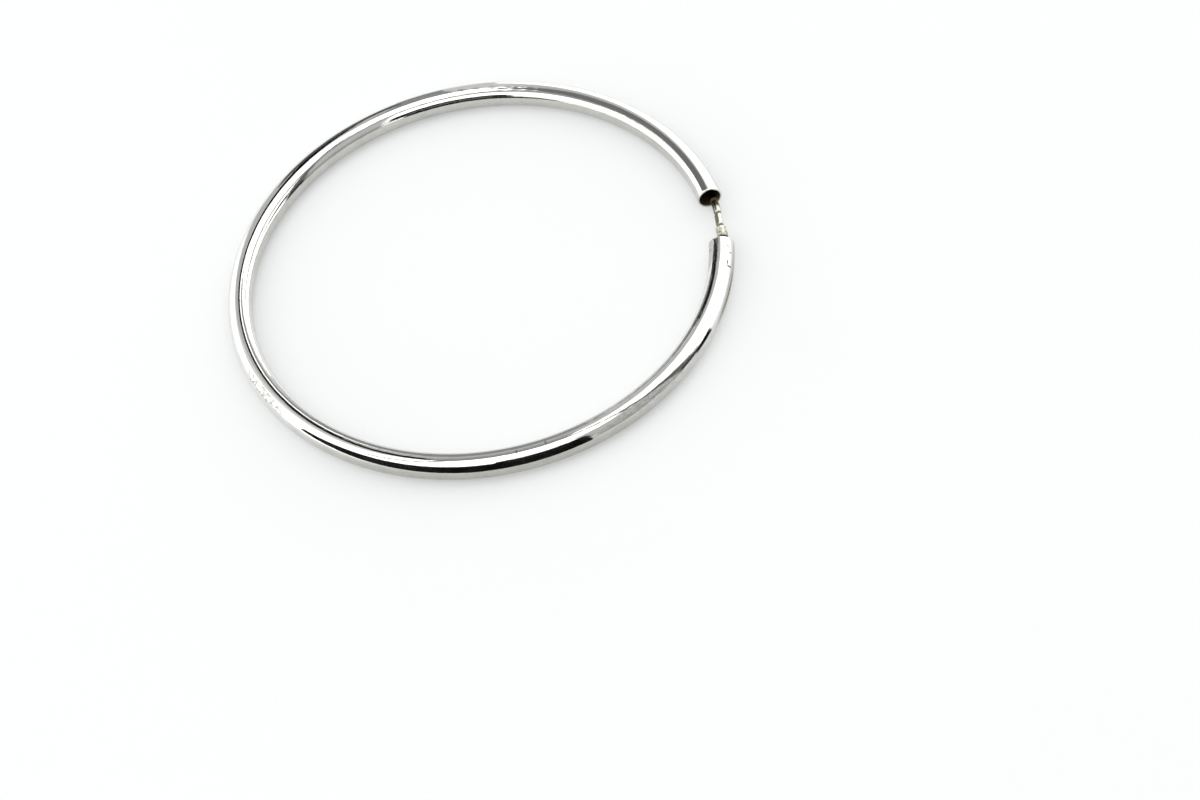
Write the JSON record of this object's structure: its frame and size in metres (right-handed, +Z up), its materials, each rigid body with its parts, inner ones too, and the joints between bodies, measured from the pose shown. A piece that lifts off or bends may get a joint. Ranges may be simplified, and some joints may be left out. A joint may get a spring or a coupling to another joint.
{
  "type": "hoop earring",
  "caption": "Large hollow-tube hoop earring lying flat, with a thin grooved ear wire that bridges its open gap.",
  "frame": {"origin": "centre of the hoop, on the surface that it lies on", "axes": "+Z up along the hoop's axis, +X from the hoop's centre towards the middle of the ear gap, +Y to complete a right-handed set"},
  "size_m": [0.0597, 0.06, 0.003],
  "materials": {
    "polished_silver": "mirror-polished silver with fine handling scratches, a few small dings and thin tarnish inside the bore",
    "tarnished_silver": "dull olive-grey tarnished silver, mottled",
    "worn_silver": "bright drawn silver wire, slightly yellowed, dark in its grooves"
  },
  "bodies": {
    "root": {"hoop_tube": "polished_silver", "wire_collar": "tarnished_silver", "ear_wire": "worn_silver"}
  },
  "joints": []
}
